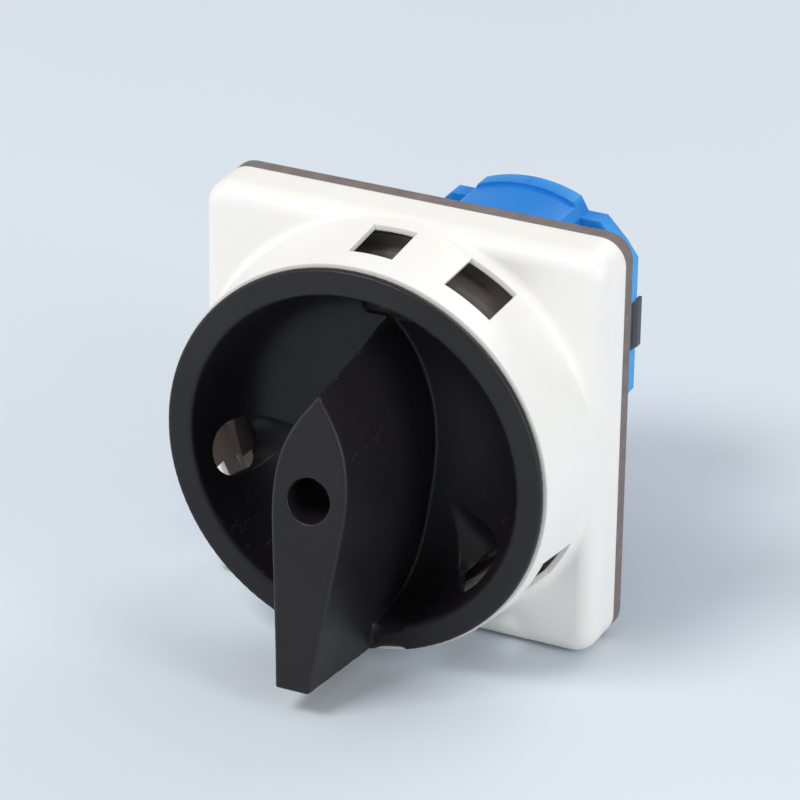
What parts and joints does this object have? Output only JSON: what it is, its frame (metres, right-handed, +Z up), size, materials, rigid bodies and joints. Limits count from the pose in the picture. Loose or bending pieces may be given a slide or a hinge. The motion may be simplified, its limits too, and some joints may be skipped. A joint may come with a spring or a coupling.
{
  "type": "manual transfer switch",
  "caption": "Padlockable rotary changeover switch for panel mounting: a square front plate with a collar and a dished knob, and a cam-operated contact block behind.",
  "frame": {"origin": "on the shaft axis, in the plane of the gasket's back face, which lies on the panel", "axes": "+Y into the panel along the shaft, +Z up, +X to the right as seen from the front"},
  "size_m": [0.064, 0.0851, 0.064],
  "materials": {
    "white_plastic": "fine satin moulded plastic",
    "gasket_rubber": "matt closed-cell rubber",
    "seal_rubber": "smooth rubber",
    "grey_plastic": "matt glass-filled plastic",
    "dark_plastic": "matt glass-filled plastic",
    "black_plastic": "fine-grained moulded plastic",
    "blue_plastic": "satin moulded plastic",
    "grey_blue_plastic": "satin moulded plastic",
    "cam_plastic": "natural acetal",
    "steel": "zinc-plated",
    "spring_steel": "drawn wire",
    "clip_metal": "rolled strip, darkened",
    "brass": "stamped strip"
  },
  "bodies": {
    "housing": {"escutcheon": "white_plastic", "gasket": "gasket_rubber", "shaft_seal": "seal_rubber", "lock_ring": "grey_plastic", "base_flange": "dark_plastic", "base_screws": "steel", "mechanism_housing": "blue_plastic", "mechanism_cover": "grey_plastic", "stage_housing_1": "grey_blue_plastic", "fixed_contacts_1": "brass", "clamp_washers_1": "steel", "terminal_screws_1": "steel", "stage_housing_2": "grey_blue_plastic", "fixed_contacts_2": "brass", "clamp_washers_2": "steel", "terminal_screws_2": "steel", "rear_housing": "blue_plastic", "side_clips": "clip_metal", "tie_bolts": "steel", "tie_nuts": "steel"},
    "rotor": {"handle": "black_plastic", "handle_screw": "steel", "shaft": "steel", "retaining_ring": "steel", "star_wheel": "cam_plastic", "stop_disc": "steel", "cam_1": "cam_plastic", "cam_2": "cam_plastic"},
    "detent_right": {"detent_carrier_right": "grey_plastic", "detent_roller_right": "steel", "detent_spring_right": "spring_steel"},
    "detent_left": {"detent_carrier_left": "grey_plastic", "detent_roller_left": "steel", "detent_spring_left": "spring_steel"},
    "contact_1_right": {"plunger_1_right": "cam_plastic", "contact_bridge_1_right": "brass", "contact_spring_1_right": "spring_steel"},
    "contact_1_left": {"plunger_1_left": "cam_plastic", "contact_bridge_1_left": "brass", "contact_spring_1_left": "spring_steel"},
    "contact_2_right": {"plunger_2_right": "cam_plastic", "contact_bridge_2_right": "brass", "contact_spring_2_right": "spring_steel"},
    "contact_2_left": {"plunger_2_left": "cam_plastic", "contact_bridge_2_left": "brass", "contact_spring_2_left": "spring_steel"}
  },
  "joints": [
    {"name": "handle_turn", "type": "hinge", "parent": "housing", "child": "rotor", "pos_m": [0, 0, 0], "axis": [0, -1, 0], "range_deg": [-60, 60]},
    {"name": "detent_right_slide", "type": "slide", "parent": "housing", "child": "detent_right", "axis": [-1, 0, 0], "range_m": [0, 0.0007], "stiffness_N_per_m": 200, "deforming": ["detent_spring_right"]},
    {"name": "detent_left_slide", "type": "slide", "parent": "housing", "child": "detent_left", "axis": [1, 0, 0], "range_m": [0, 0.0007], "stiffness_N_per_m": 200, "deforming": ["detent_spring_left"]},
    {"name": "contact_1_right_slide", "type": "slide", "parent": "housing", "child": "contact_1_right", "axis": [1, 0, 0], "range_m": [-0.00101, 0.00101], "deforming": ["contact_spring_1_right"]},
    {"name": "contact_1_left_slide", "type": "slide", "parent": "housing", "child": "contact_1_left", "axis": [-1, 0, 0], "range_m": [-0.00101, 0.00101], "deforming": ["contact_spring_1_left"]},
    {"name": "contact_2_right_slide", "type": "slide", "parent": "housing", "child": "contact_2_right", "axis": [1, 0, 0], "range_m": [-0.00101, 0.00101], "deforming": ["contact_spring_2_right"]},
    {"name": "contact_2_left_slide", "type": "slide", "parent": "housing", "child": "contact_2_left", "axis": [-1, 0, 0], "range_m": [-0.00101, 0.00101], "deforming": ["contact_spring_2_left"]}
  ],
  "couplings": [
    {"joint": "contact_1_right_slide", "follows": "handle_turn", "m_per_rad": 0.00095493},
    {"joint": "contact_1_left_slide", "follows": "handle_turn", "m_per_rad": -0.00095493},
    {"joint": "contact_2_right_slide", "follows": "handle_turn", "m_per_rad": 0.00095493},
    {"joint": "contact_2_left_slide", "follows": "handle_turn", "m_per_rad": -0.00095493}
  ]
}
